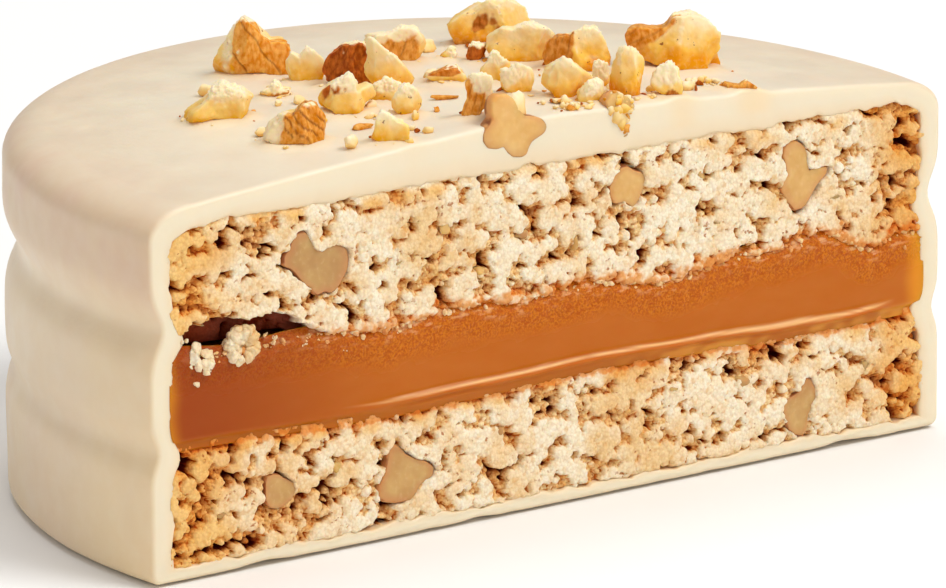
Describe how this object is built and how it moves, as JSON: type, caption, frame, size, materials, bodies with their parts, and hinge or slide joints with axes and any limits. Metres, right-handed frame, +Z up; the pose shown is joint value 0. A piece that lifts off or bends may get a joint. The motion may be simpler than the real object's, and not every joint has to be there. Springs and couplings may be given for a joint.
{
  "type": "cut half of an alfajor cookie",
  "caption": "Cut half of a pale-coated walnut alfajor: two crumbly walnut cookies around a band of dulce de leche, inside a smooth ivory coating with chopped walnut on top.",
  "frame": {"origin": "on the floor under the middle of the piece's box", "axes": "+X along the cut, +Y from the cut face to the round back, +Z up"},
  "size_m": [0.0681, 0.0435, 0.0314],
  "materials": {
    "coating": "smooth ivory sugar coating, soft satin",
    "crumb": "open, grainy cookie crumb, cream in the middle and golden towards the edges",
    "filling": "smooth caramel paste, softly glossy and slightly see-through at thin edges",
    "walnut": "broken walnut flesh, pale yellow and slightly waxy",
    "walnut_skin": "thin brown walnut skin, veined and dry"
  },
  "bodies": {
    "root": {"coating": "coating", "cookie_bottom": "crumb", "filling": "filling", "cookie_top": "crumb", "walnut_peak": "walnut", "walnut_pale_back": "walnut", "walnut_dark_skin": "walnut_skin", "walnut_slab": "walnut", "walnut_tan_back": "walnut", "walnut_spotted": "walnut", "walnut_striped": "walnut", "walnut_left": "walnut", "walnut_chip_left": "walnut", "walnut_front_left": "walnut", "walnut_pale_low": "walnut", "walnut_behind": "walnut", "walnut_flat_brown": "walnut_skin", "walnut_hump": "walnut", "walnut_chip_back": "walnut", "walnut_chip_dark": "walnut_skin", "walnut_block": "walnut", "walnut_arch": "walnut", "walnut_point": "walnut", "walnut_knob": "walnut", "walnut_yellow": "walnut", "walnut_sliver": "walnut", "walnut_pale_front": "walnut", "walnut_tall": "walnut", "walnut_pale_right": "walnut", "walnut_saddle": "walnut", "walnut_flake_right": "walnut_skin", "walnut_skin_front": "walnut_skin", "walnut_cut_heart": "walnut", "walnut_cut_top_middle": "walnut", "walnut_cut_fork": "walnut", "walnut_cut_star": "walnut", "walnut_cut_low_left": "walnut", "walnut_cut_low_right": "walnut", "walnut_cut_clover": "walnut", "walnut_cut_crumbly": "walnut"}
  },
  "joints": []
}
